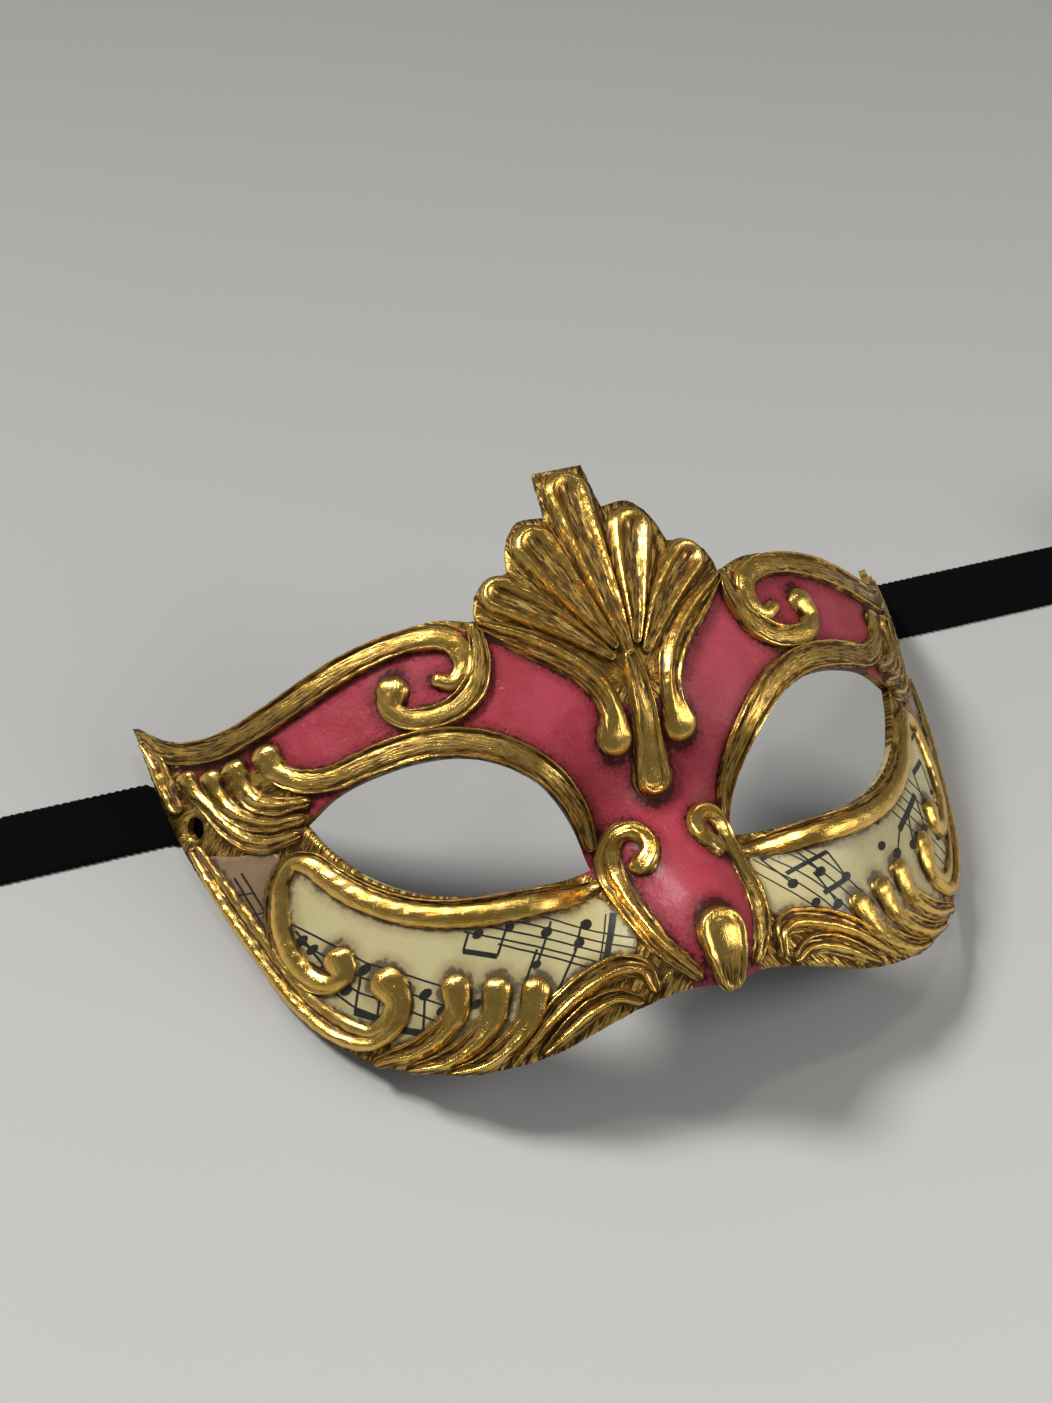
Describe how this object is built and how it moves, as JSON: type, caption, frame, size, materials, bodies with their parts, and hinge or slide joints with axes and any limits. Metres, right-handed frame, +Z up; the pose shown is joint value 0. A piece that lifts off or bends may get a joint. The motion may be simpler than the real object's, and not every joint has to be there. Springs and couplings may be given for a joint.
{
  "type": "venetian half mask",
  "caption": "Painted half mask with gilt relief scrolls, a fan crest, paper collage cheeks and two black tie ribbons, lying face up.",
  "frame": {"origin": "on the table under the middle of the mask, without its ribbons", "axes": "+X across the mask to the right, +Y towards the crest, +Z up from the table"},
  "size_m": [0.36, 0.1087, 0.066],
  "materials": {
    "painted_paper_mache": "glossy enamel over papier-mache",
    "gilt_relief": "antiqued gold leaf on modelled gesso",
    "music_paper": "varnished aged paper",
    "blush_paper": "varnished aged paper",
    "black_ribbon": "woven matte ribbon"
  },
  "bodies": {
    "mask": {"brow_band_left": "gilt_relief", "brow_band_right": "gilt_relief", "brow_scroll_left": "gilt_relief", "brow_scroll_right": "gilt_relief", "cheek_comma_inner_left": "gilt_relief", "cheek_comma_inner_right": "gilt_relief", "cheek_comma_middle_left": "gilt_relief", "cheek_comma_middle_right": "gilt_relief", "cheek_comma_outer_left": "gilt_relief", "cheek_comma_outer_right": "gilt_relief", "cheek_leaf_lower_left": "gilt_relief", "cheek_leaf_lower_right": "gilt_relief", "cheek_leaf_upper_left": "gilt_relief", "cheek_leaf_upper_right": "gilt_relief", "crest_lobe_center": "gilt_relief", "crest_lobe_lower_left": "gilt_relief", "crest_lobe_lower_right": "gilt_relief", "crest_lobe_upper_left": "gilt_relief", "crest_lobe_upper_right": "gilt_relief", "crest_pendant": "gilt_relief", "crest_stem_left": "gilt_relief", "crest_stem_right": "gilt_relief", "lower_eye_rim_left": "gilt_relief", "lower_eye_rim_right": "gilt_relief", "mask_shell": "painted_paper_mache", "music_paper_left": "music_paper", "music_paper_right": "music_paper", "nose_drop": "gilt_relief", "nose_scroll_left": "gilt_relief", "nose_scroll_right": "gilt_relief", "ribbon_knot_left": "black_ribbon", "ribbon_knot_right": "black_ribbon", "ribbon_lead_left": "black_ribbon", "ribbon_lead_right": "black_ribbon", "side_border_left": "gilt_relief", "side_border_right": "gilt_relief", "temple_comma_lower_left": "gilt_relief", "temple_comma_lower_right": "gilt_relief", "temple_comma_middle_left": "gilt_relief", "temple_comma_middle_right": "gilt_relief", "temple_comma_upper_left": "gilt_relief", "temple_comma_upper_right": "gilt_relief", "temple_paper_left": "blush_paper", "temple_paper_right": "blush_paper", "temple_trim_left": "gilt_relief", "temple_trim_right": "gilt_relief", "upper_eye_rim_left": "gilt_relief", "upper_eye_rim_right": "gilt_relief"},
    "ribbon_left": {"ribbon_strip_left": "black_ribbon", "ribbon_roll_left": "black_ribbon"},
    "ribbon_right": {"ribbon_strip_right": "black_ribbon", "ribbon_roll_right": "black_ribbon"}
  },
  "joints": [
    {"name": "ribbon_left_swing", "type": "hinge", "parent": "mask", "child": "ribbon_left", "pos_m": [-0.089, 0.0355, 0.00025], "axis": [0, 1, 0], "range_deg": [0, 80]},
    {"name": "ribbon_right_swing", "type": "hinge", "parent": "mask", "child": "ribbon_right", "pos_m": [0.089, 0.045, 0.00025], "axis": [0, -1, 0], "range_deg": [0, 80]}
  ]
}
